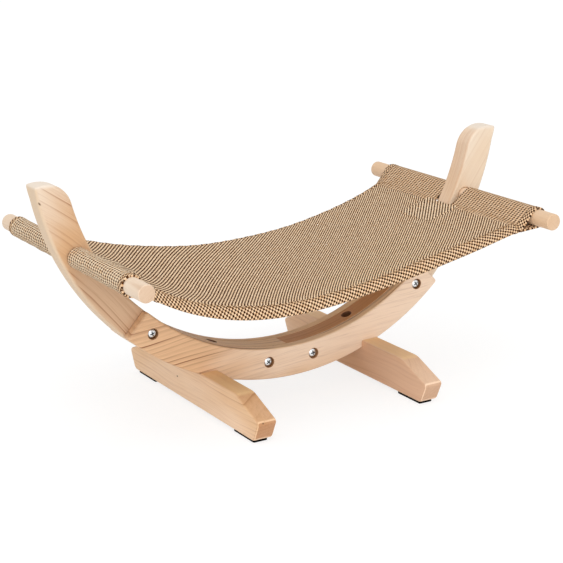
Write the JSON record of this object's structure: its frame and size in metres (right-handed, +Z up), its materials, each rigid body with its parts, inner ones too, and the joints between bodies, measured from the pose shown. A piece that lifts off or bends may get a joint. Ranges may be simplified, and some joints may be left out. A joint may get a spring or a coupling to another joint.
{
  "type": "cat hammock",
  "caption": "Wooden bow stand on cross feet that holds a woven cloth sling between two dowels, as a raised bed for a cat.",
  "frame": {"origin": "on the floor, under the middle of the bow", "axes": "+X along the bow to the right, +Y from the front plate to the rear plate, +Z up"},
  "size_m": [0.6886, 0.406, 0.322],
  "materials": {
    "bow_wood": "sanded natural pine, matt clear coat",
    "foot_wood": "sanded natural pine, matt clear coat",
    "dowel_wood": "turned pale pine, matt",
    "zinc": "bright zinc plate",
    "pad_rubber": "matt black rubber",
    "sling_cloth": "coarse cream and brown twill"
  },
  "bodies": {
    "stand": {"left_arm": "bow_wood", "right_arm": "bow_wood", "front_plate": "bow_wood", "rear_plate": "bow_wood", "left_foot": "foot_wood", "right_foot": "foot_wood", "plate_bolts": "zinc", "plate_sleeve_nuts": "zinc", "foot_bolts": "zinc", "foot_washers": "zinc", "foot_inserts": "zinc", "left_front_pad": "pad_rubber", "left_rear_pad": "pad_rubber", "right_front_pad": "pad_rubber", "right_rear_pad": "pad_rubber", "sling_bed": "sling_cloth", "left_front_sleeve": "sling_cloth", "left_rear_sleeve": "sling_cloth", "right_front_sleeve": "sling_cloth", "right_rear_sleeve": "sling_cloth", "left_notch_facing": "sling_cloth", "right_notch_facing": "sling_cloth"},
    "left_dowel": {"left_dowel": "dowel_wood"},
    "right_dowel": {"right_dowel": "dowel_wood"}
  },
  "joints": [
    {"name": "left_dowel_slide", "type": "slide", "parent": "stand", "child": "left_dowel", "axis": [0, -1, 0], "range_m": [0, 0.385]},
    {"name": "right_dowel_slide", "type": "slide", "parent": "stand", "child": "right_dowel", "axis": [0, -1, 0], "range_m": [0, 0.385]}
  ]
}
